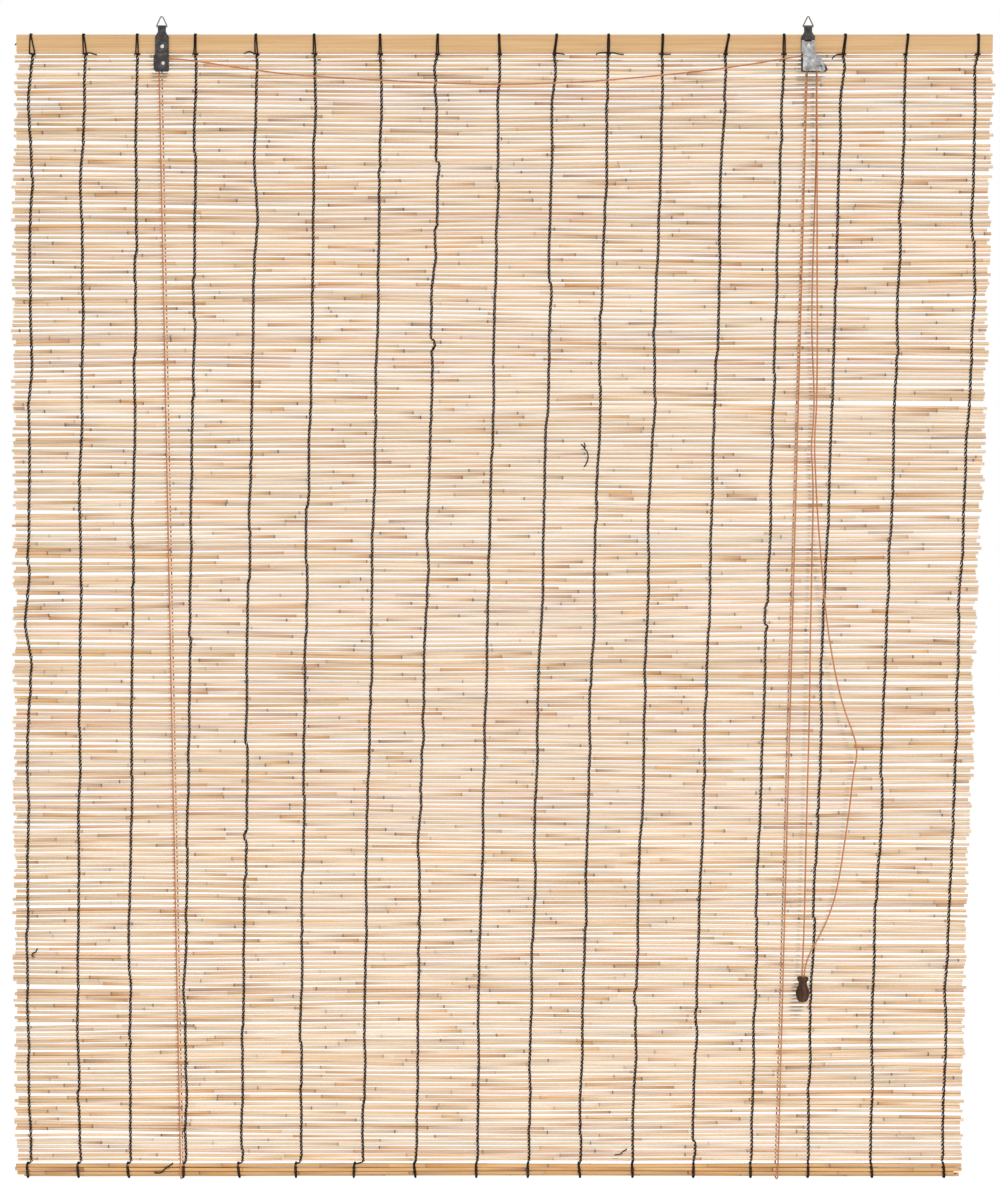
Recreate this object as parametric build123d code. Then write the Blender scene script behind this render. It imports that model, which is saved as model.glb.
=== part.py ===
from build123d import *
import math
import os
import random

# Reed roll-up blind, millimetres.
# +Z is up, +X is to the right as seen from the room, -Y faces the room.
# The origin lies midway between the tops of the two hanging rings, in the plane of the mat.

os.makedirs("parts", exist_ok=True)

# ---------------------------------------------------------------- driving dimensions
# head slat
SLAT_X0, SLAT_X1 = -575.6, 624.4
SLAT_T = 9.0                      # thickness, front to back
SLAT_TOP, SLAT_BOTTOM = -22.0, -44.4
SLAT_EDGE = 0.8                   # broken edges

# mat
PITCH = 5.15                      # reed to reed
N_REEDS = 270
Z_FIRST = -48.2                   # centre of the top reed
BAND_COUNTS = [16, 16, 16, 15, 15, 15, 13, 13, 12, 12, 10, 10, 10, 8, 8, 8, 7, 7, 7,
               5, 5, 5, 5, 4, 4, 4, 4, 4, 4, 4, 4]
LEFT_EDGE = [(-46, -575.5), (-195, -582.0), (-440, -586.0), (-690, -588.0), (-1000, -593.0), (-1200, -596.0), (-1440, -596.5)]
RIGHT_EDGE = [(-46, 627.5), (-200, 624.5), (-440, 622.5), (-560, 620.5), (-750, 613.5), (-940, 612.0), (-1130, 607.0), (-1440, 606.0)]

# warp threads, from the slat to the bundle
WARP_TOP = [-558.6, -494.6, -429.4, -356.7, -281.6, -209.0, -129.0, -58.8, 17.5,
            89.0, 153.0, 219.5, 299.5, 370.9, 443.5, 519.9, 607.3]
WARP_BOTTOM = [-580.3, -516.0, -452.2, -381.5, -311.4, -238.7, -166.1, -88.8, -10.5,
               55.2, 120.8, 188.3, 266.1, 338.7, 412.0, 493.0, 584.8]
THREAD_R = 0.6
THREAD_Y = 2.8                    # front strand at -2.8, back strand at +2.8
LOOP_T = 1.2                      # thread loop round the slat or the bundle
LOOP_W = 2.6

# bundle of reeds along the bottom
BUNDLE = [(-2.3, -1441.3), (2.3, -1442.5), (-2.3, -1446.0), (2.3, -1447.2), (-1.2, -1450.9), (2.2, -1453.9)]
BUNDLE_R = 2.2
BUNDLE_TOP, BUNDLE_BOTTOM = -1438.9, -1456.2
BUNDLE_HALF = 4.55

# hardware
SHEET_T = 1.2                     # steel strip
FRONT = -SLAT_T / 2               # front face of the slat
Y1 = FRONT - SHEET_T              # front of the back leaf
Y2 = Y1 - SHEET_T                 # front of the second leaf
LX, RX = -396.4, 397.1            # middles of the left and right brackets
RING_WIRE = 0.75
RING_Z = -13.2                    # axis of the ring's straight side
RING_HALF = 6.85
RING_PLAY = 0.05
CORD_R = 0.95
PULLEY_R = 5.6                    # cord's centreline round a pulley
PULLEY_RIM = 6.9
PULLEY_T = 3.2
AXLE_R = 1.2
BORE_PLAY = 0.05
LEFT_PULLEY = (-394.6, -57.6)
LOCK_PULLEY = (402.1, -55.0)
Y_INNER, Y_OUTER = -7.7, -11.2    # planes of the inner and outer pulleys
LEFT_FRONT_Y = -9.7               # back of the left bracket's front wall
LOCK_FRONT_Y = -13.2              # back of the lock plate's front wall
HOUSING_BOTTOM = -67.3
ROLLER = (414.3, -64.6)
ROLLER_R = 3.5
ROLLER_PIN = 1.1
ROLLER_TRAVEL = 3.7
ROLLER_DIR = (-0.5, 0.8660254)

# pull
KNOB_X, KNOB_Y = 400.7, -13.6
KNOB_TOP, KNOB_BOTTOM = -1195.4, -1225.6


# ---------------------------------------------------------------- helpers
def save(name, shapes):
    shapes = list(shapes) if isinstance(shapes, (list, tuple)) else [shapes]
    solids = []
    for s in shapes:
        solids += list(s.solids())
    export_step(solids[0] if len(solids) == 1 else Compound(children=solids), f"parts/{name}.step")


def bar_x(x0, x1, y, z, r):
    """A round bar along X."""
    return Pos((x0 + x1) / 2, y, z) * Rot(0, 90, 0) * Cylinder(r, x1 - x0)


def bar_y(x, y0, y1, z, r):
    """A round bar along Y."""
    return Pos(x, (y0 + y1) / 2, z) * Rot(90, 0, 0) * Cylinder(r, y1 - y0)


def block(x0, x1, y0, y1, z0, z1):
    return Pos((x0 + x1) / 2, (y0 + y1) / 2, (z0 + z1) / 2) * Box(x1 - x0, y1 - y0, z1 - z0)


def plate(points, y_front, y_back):
    """A flat plate parallel to the slat's face, from its outline in x and z."""
    face = make_face(Plane.XZ * Polyline(*points, close=True))
    return Pos(0, y_back, 0) * extrude(face, y_back - y_front, dir=(0, -1, 0))


def between(table, z):
    for (z0, x0), (z1, x1) in zip(table, table[1:]):
        if z1 <= z <= z0:
            return x0 + (x1 - x0) * (z - z0) / (z1 - z0)
    return table[0][1] if z > table[0][0] else table[-1][1]


def route_radii(points, fixed=None):
    """The arc at each corner of a route: 0.45 of its shorter run, over the tangent of half the turn."""
    fixed, out = fixed or {}, []
    for i in range(1, len(points) - 1):
        a, b, c = (Vector(*points[i + k]) for k in (-1, 0, 1))
        u, v = b - a, c - b
        turn = math.radians(u.get_angle(v))
        out.append(fixed.get(i, 0.45 * min(u.length, v.length) / math.tan(turn / 2)))
    return out


def tube(name, points, r, fixed=None):
    """A cord's tube along straight runs joined by tangent arcs."""
    radii = route_radii(points, fixed)
    path = FilletPolyline(*points, radius=radii) if radii else Line(*points)
    d = Vector(*points[1]) - Vector(*points[0])
    section = Plane(origin=Vector(*points[0]), z_dir=d) * Circle(r)
    made = sweep(section, path=path)
    length = path.length
    print(f"{name}: length {length:.1f} mm, smallest radius {min(radii):.1f} mm, radii {[round(x, 1) for x in radii]}, "
          f"volume / (section x length) {made.volume / (math.pi * r * r * length):.4f}")
    return made


# ---------------------------------------------------------------- head slat
slat = block(SLAT_X0, SLAT_X1, -SLAT_T / 2, SLAT_T / 2, SLAT_BOTTOM, SLAT_TOP)
slat = chamfer(slat.edges().filter_by(Axis.X), SLAT_EDGE)
NAILS = [(-396.0, -37.1), (397.6, -36.4)]
for nx, nz in NAILS:
    slat -= bar_y(nx, FRONT - 1, 3.2, nz, 0.92)
STAPLES = [-398.4, 396.6]
STAPLE_Y, STAPLE_HALF, STAPLE_R = 3.0, 2.5, 0.55
for sx in STAPLES:
    for side in (-1, 1):
        slat -= Pos(sx + side * STAPLE_HALF, STAPLE_Y, SLAT_BOTTOM + 3.5) * Cylinder(STAPLE_R + 0.02, 9.0)
save("head_slat", slat)

# ---------------------------------------------------------------- warp threads and their loops
warps, top_loops, bottom_loops = [], [], []
for xt, xb in zip(WARP_TOP, WARP_BOTTOM):
    for y in (-THREAD_Y, THREAD_Y):
        a, b = Vector(xt, y, SLAT_BOTTOM - LOOP_T), Vector(xb, y, BUNDLE_TOP + LOOP_T)
        d = (b - a).normalized()
        warps.append(Plane(origin=(a + b) / 2, z_dir=d) * Cylinder(THREAD_R, (b - a).length - 0.05))
    h = SLAT_T / 2
    top_loops.append(block(xt - LOOP_W / 2, xt + LOOP_W / 2, -h - LOOP_T, h + LOOP_T, SLAT_BOTTOM - LOOP_T, SLAT_TOP + LOOP_T)
                     - block(xt - LOOP_W, xt + LOOP_W, -h, h, SLAT_BOTTOM, SLAT_TOP))
    bottom_loops.append(block(xb - LOOP_W / 2, xb + LOOP_W / 2, -BUNDLE_HALF - LOOP_T, BUNDLE_HALF + LOOP_T,
                              BUNDLE_BOTTOM - LOOP_T, BUNDLE_TOP + LOOP_T)
                        - block(xb - LOOP_W, xb + LOOP_W, -BUNDLE_HALF, BUNDLE_HALF, BUNDLE_BOTTOM, BUNDLE_TOP))
save("warp_threads", warps)
save("slat_thread_loops", top_loops)
save("bundle_thread_loops", bottom_loops)

# ---------------------------------------------------------------- reeds
rng = random.Random(31)
reeds = []
for i in range(N_REEDS):
    z = Z_FIRST - i * PITCH
    r = rng.uniform(1.66, 1.9) if i < 232 else rng.uniform(1.6, 1.74)
    x0 = between(LEFT_EDGE, z) + rng.uniform(-3.0, 3.0)
    x1 = between(RIGHT_EDGE, z) + rng.uniform(-3.0, 3.0)
    x0, x1 = min(x0, between(list(zip([-45, -1440], [WARP_TOP[0], WARP_BOTTOM[0]])), z) - 8), x1
    reeds.append(bar_x(x0, x1, 0, z, r))
start = 0
for k, n in enumerate(BAND_COUNTS):
    save(f"reeds_{k + 1:02d}", reeds[start:start + n])
    start += n
assert start == N_REEDS

bundle = []
for k, (y, z) in enumerate(BUNDLE):
    ends = [(-597.5, 606.0), (-592.0, 600.5), (-598.8, 603.0), (-590.5, 607.6), (-596.0, 596.5), (-588.0, 604.0)][k]
    bundle.append(bar_x(*ends, y, z, BUNDLE_R))
save("bundle_reeds", bundle)


# ---------------------------------------------------------------- hanging rings
def ring(cx, top_fillet):
    reach = 12.45                                      # from the straight side up to the wire's middle at the top
    apex = RING_Z + reach
    for _ in range(30):
        u = math.atan2(apex - RING_Z, RING_HALF)       # slope of a side
        half_top = math.pi / 2 - u                     # half the angle at the apex
        apex = RING_Z + reach + top_fillet * (1 / math.sin(half_top) - 1)
    rb = 1.1
    t = rb / math.tan(u / 2)
    tt = top_fillet / math.tan(half_top)
    s, c = math.sin(u), math.cos(u)
    p = {
        "b0": (cx - RING_HALF + t, RING_Z), "b1": (cx + RING_HALF - t, RING_Z),
        "r0": (cx + RING_HALF - t * c, RING_Z + t * s), "r1": (cx + tt * c, apex - tt * s),
        "l0": (cx - tt * c, apex - tt * s), "l1": (cx - RING_HALF + t * c, RING_Z + t * s),
    }
    v = {k: Vector(x, Y1, z) for k, (x, z) in p.items()}

    def arc(a, b, centre, r):
        mid = (a + b) / 2 - centre
        return ThreePointArc(a, centre + mid.normalized() * r, b)

    right = Vector(cx + RING_HALF - t, Y1, RING_Z + rb)
    left = Vector(cx - RING_HALF + t, Y1, RING_Z + rb)
    top = Vector(cx, Y1, apex - top_fillet / math.sin(half_top))
    wire = Wire([
        Line(v["b0"], v["b1"]), arc(v["b1"], v["r0"], right, rb), Line(v["r0"], v["r1"]),
        arc(v["r1"], v["l0"], top, top_fillet), Line(v["l0"], v["l1"]), arc(v["l1"], v["b0"], left, rb),
    ])
    section = Plane(origin=v["b0"], z_dir=(1, 0, 0)) * Circle(RING_WIRE)
    return sweep(section, path=wire)


save("left_ring", ring(LX, 1.9))
save("right_ring", ring(RX, 1.2))


# ---------------------------------------------------------------- brackets: a strip folded round the ring
def neck(cx):
    """The fold that holds the ring, and the two leaves pressed together below it."""
    fold_r = RING_WIRE + RING_PLAY + SHEET_T
    made = bar_x(cx - 4.85, cx + 4.85, Y1, RING_Z, fold_r)
    made += block(cx - 4.85, cx + 4.85, Y2, FRONT, -19.6, RING_Z)
    return made - bar_x(cx - 6, cx + 6, Y1, RING_Z, RING_WIRE + RING_PLAY)


def shoulders(cx):
    return [(cx - 4.85, -19.3), (cx + 4.85, -19.3), (cx + 8.3, -24.8)]


# left bracket: both leaves reach down; the front one steps forward to house the pulley
left = neck(LX)
left += plate(shoulders(LX) + [(LX + 8.3, -65.8), (LX + 6.8, HOUSING_BOTTOM), (LX - 8.4, HOUSING_BOTTOM), (LX - 10.0, -64.8),
                               (LX - 10.0, -48.6), (LX - 8.2, -46.5), (LX - 8.2, -24.8)], Y1, FRONT)
left += plate(shoulders(LX) + [(LX + 8.3, -46.4), (LX - 8.2, -46.4), (LX - 8.2, -24.8)], Y2, Y1)
left += block(LX - 8.2, LX + 8.3, LEFT_FRONT_Y - SHEET_T, Y1, -46.4, -45.2)
left += plate([(LX - 8.2, -45.2), (LX + 8.3, -45.2), (LX + 8.3, -65.8), (LX + 6.8, HOUSING_BOTTOM), (LX - 8.4, HOUSING_BOTTOM),
               (LX - 10.0, -64.8), (LX - 10.0, -48.6), (LX - 8.2, -46.5)], LEFT_FRONT_Y - SHEET_T, LEFT_FRONT_Y)
left += block(LX - 10.0, LX - 9.0, LEFT_FRONT_Y, Y1, -64.8, -49.0)
left -= bar_y(NAILS[0][0], -8, -4, NAILS[0][1], 0.94)
left -= bar_y(LEFT_PULLEY[0], -12, -4, LEFT_PULLEY[1], AXLE_R)
save("left_bracket", left)

# right bracket: the folded strip is the back plate of the cord lock, with a wall on its left
flare = [(405.4, -46.6), (410.8, -48.4), (421.2, -62.6), (421.4, -65.6), (418.8, HOUSING_BOTTOM)]
right = neck(RX)
right += plate(shoulders(RX) + flare + [(RX - 8.2, HOUSING_BOTTOM), (RX - 8.2, -24.8)], Y1, FRONT)
right += plate(shoulders(RX) + [(RX + 8.3, -27.6), (RX + 5.2, -28.9), (RX - 5.2, -28.9), (RX - 8.2, -27.6), (RX - 8.2, -24.8)], Y2, Y1)
right += block(RX - 8.2, RX - 7.2, LOCK_FRONT_Y + 0.2, Y1, HOUSING_BOTTOM, -54.5)


def slot(y0, y1):
    dx, dz = ROLLER_DIR[0] * ROLLER_TRAVEL, ROLLER_DIR[1] * ROLLER_TRAVEL
    x0, z0 = ROLLER
    w = ROLLER_PIN + 0.15
    nx, nz = -ROLLER_DIR[1] * w, ROLLER_DIR[0] * w
    bar = plate([(x0 + nx, z0 + nz), (x0 + dx + nx, z0 + dz + nz), (x0 + dx - nx, z0 + dz - nz), (x0 - nx, z0 - nz)], y0, y1)
    return bar + bar_y(x0, y0, y1, z0, w) + bar_y(x0 + dx, y0, y1, z0 + dz, w)


right -= slot(-6.2, -4.0)
right -= bar_y(NAILS[1][0], -8, -4, NAILS[1][1], 0.94)
right -= bar_y(LOCK_PULLEY[0], -8, -4, LOCK_PULLEY[1], AXLE_R)
save("right_bracket", right)

# lock plate: nailed over the strip, stepped forward over the two pulleys, flared for the roller
y_face = LOCK_FRONT_Y - SHEET_T
lock = plate([(389.3, -29.3), (391.8, -29.3), (394.0, -31.2), (400.6, -31.2), (402.6, -29.3), (405.2, -29.3), (405.4, -45.0), (389.0, -45.0)], Y2, Y1)
lock += block(389.0, 405.4, y_face, Y1, -45.8, -44.6)
lock += plate([(389.0, -44.6), (405.4, -44.6), (405.4, -47.2), (410.2, -48.4), (414.2, -54.4), (416.6, -60.6), (416.9, -65.2),
               (415.4, -67.1), (404.0, HOUSING_BOTTOM), (391.4, HOUSING_BOTTOM), (390.2, -66.0), (390.0, -47.4), (389.0, -46.6)],
              y_face, LOCK_FRONT_Y)
lock -= block(398.8, 399.35, y_face - 1, y_face + 0.5, -66.4, -47.4)
lock -= slot(-15.0, -13.0)
lock -= bar_y(NAILS[1][0], -8, -4, NAILS[1][1], 0.94)
lock -= bar_y(LOCK_PULLEY[0], -15, -13, LOCK_PULLEY[1], AXLE_R)
save("lock_plate", lock)


# ---------------------------------------------------------------- pulleys, axles, roller, nails
def pulley(cx, cz, y):
    groove = CORD_R + 0.05
    profile = make_face(Plane.XY * Polyline(
        (AXLE_R + BORE_PLAY, -PULLEY_T / 2), (PULLEY_RIM - 0.3, -PULLEY_T / 2), (PULLEY_RIM, -PULLEY_T / 2 + 0.3),
        (PULLEY_RIM, PULLEY_T / 2 - 0.3), (PULLEY_RIM - 0.3, PULLEY_T / 2), (AXLE_R + BORE_PLAY, PULLEY_T / 2), close=True))
    wheel = revolve(profile, axis=Axis.Y)
    wheel -= Rot(90, 0, 0) * Torus(PULLEY_R, groove)
    mouth = make_face(Plane.XY * Polyline((PULLEY_R, -groove), (PULLEY_RIM + 1, -groove - 0.35), (PULLEY_RIM + 1, groove + 0.35), (PULLEY_R, groove), close=True))
    wheel -= revolve(mouth, axis=Axis.Y)
    for k in range(4):
        a = math.radians(45 + 90 * k)
        wheel -= bar_y(3.0 * math.cos(a), -2, 2, 3.0 * math.sin(a), 0.55)
    return Pos(cx, y, cz) * wheel


save("left_pulley", pulley(*LEFT_PULLEY, Y_INNER))
save("lock_pulley_inner", pulley(*LOCK_PULLEY, Y_INNER))
save("lock_pulley_outer", pulley(*LOCK_PULLEY, Y_OUTER))


def axle(cx, cz, front):
    pin = bar_y(cx, front - 0.1, FRONT, cz, AXLE_R)
    head = bar_y(cx, front - 0.9, front, cz, 2.1)
    head = chamfer(head.edges().filter_by(GeomType.CIRCLE).sort_by(Axis.Y)[:1], 0.55)
    rear = bar_y(cx, FRONT, FRONT + 0.5, cz, 2.0)
    return pin + head + rear


save("left_axle", axle(*LEFT_PULLEY, LEFT_FRONT_Y - SHEET_T))
save("lock_axle", axle(*LOCK_PULLEY, y_face))

roller = bar_y(ROLLER[0], LOCK_FRONT_Y + 0.35, Y1 - 0.35, ROLLER[1], ROLLER_R)
roller = chamfer(roller.edges().filter_by(GeomType.CIRCLE), 0.35)
roller += bar_y(ROLLER[0], y_face - 0.6, FRONT + 0.4, ROLLER[1], ROLLER_PIN)
save("lock_roller", roller)


def nail(nx, nz):
    shank = bar_y(nx, Y2 - 0.1, 2.0, nz, 0.9) + Pos(nx, 2.6, nz) * Rot(-90, 0, 0) * Cone(0.9, 0.15, 1.2)
    head = bar_y(nx, Y2 - 1.1, Y2, nz, 2.4)
    head = fillet(head.edges().filter_by(GeomType.CIRCLE).sort_by(Axis.Y)[:1], 0.8)
    return shank + head


save("bracket_nails", [nail(*n) for n in NAILS])

staples = []
for sx in STAPLES:
    path = FilletPolyline((sx - STAPLE_HALF, STAPLE_Y, -37.6), (sx - STAPLE_HALF, STAPLE_Y, -48.6),
                          (sx + STAPLE_HALF, STAPLE_Y, -48.6), (sx + STAPLE_HALF, STAPLE_Y, -37.6), radius=1.3)
    staples.append(sweep(Plane(origin=(sx - STAPLE_HALF, STAPLE_Y, -37.6), z_dir=(0, 0, -1)) * Circle(STAPLE_R), path=path))
save("cord_staples", staples)

KNOT_Y, KNOT_Z = 4.6, -50.4
save("cord_knots", [Pos(sx, KNOT_Y, KNOT_Z) * Sphere(2.15) for sx in STAPLES])

# ---------------------------------------------------------------- cords
# Each lift cord is tied behind the slat, hangs down behind the mat, passes under the bundle,
# comes up in front of the mat and goes over its pulley.
WRAP_Y, WRAP_Z = 5.6, -1458.7
LEFT_LIFT = [(-392.6, Y_INNER, LEFT_PULLEY[1] + PULLEY_R), (LEFT_PULLEY[0] - PULLEY_R, Y_INNER, LEFT_PULLEY[1] + PULLEY_R),
             (-387.6, -WRAP_Y, WRAP_Z), (-386.0, WRAP_Y, WRAP_Z), (-398.4, KNOT_Y - 0.2, KNOT_Z - 1.0)]
save("left_lift_cord", tube("left_lift_cord", LEFT_LIFT, CORD_R, {1: PULLEY_R, 2: 5.5, 3: 5.5}))

LOCK_TOP = LOCK_PULLEY[1] + PULLEY_R
RIGHT_LIFT = [(LOCK_PULLEY[0] + PULLEY_R, Y_INNER, HOUSING_BOTTOM), (LOCK_PULLEY[0] + PULLEY_R, Y_INNER, LOCK_TOP),
              (LOCK_PULLEY[0] - PULLEY_R, Y_INNER, LOCK_TOP), (372.2, -WRAP_Y, WRAP_Z), (369.8, WRAP_Y, WRAP_Z),
              (396.6, KNOT_Y - 0.2, KNOT_Z - 1.0)]
save("right_lift_cord", tube("right_lift_cord", RIGHT_LIFT, CORD_R, {1: 5.55, 2: 5.55, 3: 5.5, 4: 5.5}))

# The left cord crosses to the lock in a shallow sag.
CROSS = [(-392.6, -7.7, -52.0), (-380.0, -7.7, -52.0), (-357.0, -7.9, -54.4), (-318.0, -8.1, -60.4), (-264.0, -8.3, -68.6),
         (-207.0, -8.5, -73.6), (-150.0, -8.8, -76.9), (-92.0, -9.0, -79.9), (-34.0, -9.3, -82.5), (24.0, -9.5, -83.3),
         (82.0, -9.8, -82.0), (138.0, -10.0, -79.3), (190.0, -10.2, -74.8), (240.0, -10.5, -70.2), (290.0, -10.7, -64.3),
         (338.0, -10.9, -57.3), (370.0, -11.1, -51.8), (387.0, -11.2, -49.6), (407.7, -11.2, -49.4), (407.7, -11.2, -67.3)]
save("cross_cord", tube("cross_cord", CROSS, CORD_R, {18: PULLEY_R}))

# The two pull cords hang from the lock to the knob, one nearly straight, the other in a slack bow.
PULL_A = [(407.7, -7.7, -67.3), (407.7, -7.7, -95.0), (408.5, -7.9, -150.0), (407.6, -8.1, -205.0), (406.2, -8.4, -262.0),
          (404.9, -8.7, -320.0), (404.5, -8.9, -378.0), (406.2, -9.2, -420.0), (408.6, -9.4, -462.0), (408.0, -9.5, -498.0),
          (405.0, -9.6, -527.0), (407.4, -9.7, -556.0), (408.6, -9.9, -600.0), (407.6, -10.2, -655.0), (407.1, -10.5, -712.0),
          (406.4, -10.8, -770.0), (406.3, -11.1, -828.0), (405.8, -11.4, -886.0), (404.7, -11.8, -944.0), (403.7, -12.1, -1002.0),
          (402.8, -12.5, -1060.0), (402.2, -12.9, -1115.0), (401.0, -13.3, -1160.0), (399.65, -13.6, -1188.0),
          (399.65, -13.6, -1215.0)]
PULL_B = [(407.7, -11.2, -67.3), (407.7, -11.2, -95.0), (408.7, -11.3, -150.0), (409.2, -11.4, -205.0), (409.9, -11.5, -262.0),
          (410.4, -11.6, -320.0), (411.3, -11.7, -376.0), (411.6, -11.8, -435.0), (411.3, -11.9, -482.0), (408.8, -12.0, -520.0),
          (410.6, -12.1, -560.0), (413.6, -12.2, -610.0), (418.4, -12.4, -664.0), (423.4, -12.6, -720.0), (430.5, -12.8, -772.0),
          (440.0, -13.0, -822.0), (450.0, -13.2, -858.0), (460.5, -13.4, -884.0), (467.2, -13.5, -909.0), (461.0, -13.6, -940.0),
          (458.2, -13.6, -974.0), (452.4, -13.6, -1018.0), (446.2, -13.6, -1064.0), (438.0, -13.6, -1104.0), (423.0, -13.6, -1140.0),
          (407.0, -13.6, -1168.0), (401.75, -13.6, -1192.0), (401.75, -13.6, -1215.0)]
save("pull_cord_a", tube("pull_cord_a", PULL_A, CORD_R))
save("pull_cord_b", tube("pull_cord_b", PULL_B, CORD_R))

# ---------------------------------------------------------------- turned knob and the knot inside it
profile = [(2.3, KNOB_TOP), (6.9, KNOB_TOP), (7.3, KNOB_TOP - 0.8), (6.9, KNOB_TOP - 2.6), (5.6, KNOB_TOP - 5.6), (5.1, KNOB_TOP - 8.2),
           (5.9, KNOB_TOP - 11.2), (7.6, KNOB_TOP - 15.0), (8.6, KNOB_TOP - 18.8), (8.5, KNOB_TOP - 22.6), (7.5, KNOB_TOP - 26.4),
           (6.4, KNOB_TOP - 29.0), (5.6, KNOB_BOTTOM), (4.4, KNOB_BOTTOM), (4.4, KNOB_BOTTOM + 12.0), (2.3, KNOB_BOTTOM + 12.0)]
outer = profile[2:13]
with BuildSketch(Plane.XZ) as sk:
    with BuildLine():
        Polyline(profile[0], profile[1], profile[2])
        Spline(*outer)
        Polyline(*profile[12:], profile[0])
    make_face()
knob = revolve(sk.sketch, axis=Axis.Z)
save("pull_knob", Pos(KNOB_X, KNOB_Y, 0) * knob)
save("pull_knot", Pos(KNOB_X, KNOB_Y, KNOB_BOTTOM + 8.7) * scale(Sphere(3.5), by=(1, 1, 0.88)))
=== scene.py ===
import bpy
import math
import random
import numpy as np
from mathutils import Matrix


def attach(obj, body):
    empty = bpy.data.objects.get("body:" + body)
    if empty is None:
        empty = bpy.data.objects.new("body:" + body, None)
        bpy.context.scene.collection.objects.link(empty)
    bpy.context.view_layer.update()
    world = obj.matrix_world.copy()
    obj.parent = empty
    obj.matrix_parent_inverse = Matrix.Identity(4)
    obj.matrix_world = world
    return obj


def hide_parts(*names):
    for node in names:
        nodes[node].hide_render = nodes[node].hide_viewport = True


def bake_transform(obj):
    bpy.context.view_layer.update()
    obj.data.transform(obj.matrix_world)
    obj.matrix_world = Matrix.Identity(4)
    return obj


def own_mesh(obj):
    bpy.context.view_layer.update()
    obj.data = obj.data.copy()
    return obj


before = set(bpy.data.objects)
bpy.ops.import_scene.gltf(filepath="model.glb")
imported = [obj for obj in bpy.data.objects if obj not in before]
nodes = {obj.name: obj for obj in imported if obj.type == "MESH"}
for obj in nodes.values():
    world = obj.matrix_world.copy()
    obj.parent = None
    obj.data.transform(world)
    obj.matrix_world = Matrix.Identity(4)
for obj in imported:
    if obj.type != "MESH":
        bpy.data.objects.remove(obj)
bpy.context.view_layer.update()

MM = 0.001
scene = bpy.context.scene

# ------------------------------------------------------------------ the mat's layout, in millimetres
PITCH, N_REEDS, Z_FIRST = 5.15, 270, -48.2
BANDS = [16, 16, 16, 15, 15, 15, 13, 13, 12, 12, 10, 10, 10, 8, 8, 8, 7, 7, 7, 5, 5, 5, 5, 4, 4, 4, 4, 4, 4, 4, 4]
LEFT_EDGE = [(-46, -575.5), (-195, -582.0), (-440, -586.0), (-690, -588.0), (-1000, -593.0), (-1200, -596.0), (-1440, -596.5)]
RIGHT_EDGE = [(-46, 627.5), (-200, 624.5), (-440, 622.5), (-560, 620.5), (-750, 613.5), (-940, 612.0), (-1130, 607.0), (-1440, 606.0)]
starts = np.cumsum([0] + BANDS)
MID = [Z_FIRST - (starts[k] + starts[k + 1] - 1) / 2 * PITCH for k in range(31)]      # middle of each band


def zone_of(z):
    return sum(1 for m in MID if z <= m + 1e-6)


def hang(ob, zone):
    """A piece of the mat: the top band is attached to the head; the other bands have their placement baked into the
    mesh.
    """
    if zone == 0:
        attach(ob, "head")
    else:
        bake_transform(ob)
    return ob


# ------------------------------------------------------------------ mesh helpers
class Build:
    """Collects tubes into one mesh. Lengths are in millimetres."""

    def __init__(self):
        self.v, self.f, self.c, self.n = [], [], [], 0

    def rings(self, rings, tints, cap_a=True, cap_b=True):
        """rings: (stations, sides, 3); tints: (stations, 3)."""
        k, m = rings.shape[:2]
        self.v.append(rings.reshape(-1, 3))
        self.c.append(np.repeat(tints, m, axis=0))
        i = np.arange(k - 1)[:, None] * m
        j = np.arange(m)[None, :]
        j2 = (j + 1) % m
        a = self.n + np.stack([i + j, i + m + j, i + m + j2, i + j2], axis=-1).reshape(-1, 4)
        self.f += a.tolist()
        if cap_a:
            self.f.append([self.n + q for q in range(m)])
        if cap_b:
            self.f.append([self.n + (k - 1) * m + q for q in range(m)][::-1])
        self.n += k * m

    def tube(self, path, radius, sides, tint=(1, 1, 1), flat=1.0, **kw):
        path = np.asarray(path, float)
        t = np.gradient(path, axis=0)
        t /= np.linalg.norm(t, axis=1)[:, None] + 1e-12
        ref = np.array((1.0, 0, 0)) if abs(t[0][0]) < 0.8 else np.array((0, 0, 1.0))
        n = np.zeros_like(path)
        u = ref - t[0] * ref.dot(t[0])
        n[0] = u / np.linalg.norm(u)
        for q in range(1, len(path)):
            u = n[q - 1] - t[q] * n[q - 1].dot(t[q])
            n[q] = u / (np.linalg.norm(u) + 1e-12)
        b = np.cross(t, n)
        a = np.linspace(0, 2 * math.pi, sides, endpoint=False)
        r = np.broadcast_to(np.asarray(radius, float), (len(path),))[:, None, None]
        around = r * (np.cos(a)[None, :, None] * n[:, None, :] + np.sin(a)[None, :, None] * b[:, None, :])
        around[..., 1] *= flat                      # pressed flat, front to back
        rings = path[:, None, :] + around
        self.rings(rings, np.broadcast_to(np.asarray(tint, float), (len(path), 3)), **kw)

    def done(self, name, material, slot, smooth=True):
        me = bpy.data.meshes.new(name)
        v = np.concatenate(self.v) * MM
        me.from_pydata(v.tolist(), [], self.f)
        col = me.color_attributes.new(name="tint", type="FLOAT_COLOR", domain="POINT")
        c = np.concatenate(self.c)
        col.data.foreach_set("color", np.hstack([c, np.ones((len(c), 1))]).astype(np.float32).ravel())
        me.polygons.foreach_set("use_smooth", [smooth] * len(me.polygons))
        me.materials.append(material)
        me.validate()
        me.update()
        ob = bpy.data.objects.new(name, me)
        scene.collection.objects.link(ob)
        # flat caps keep their crisp rim
        ring = [p.index for p in me.polygons if len(p.vertices) > 4]
        for q in ring:
            me.polygons[q].use_smooth = False
        return ob


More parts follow.
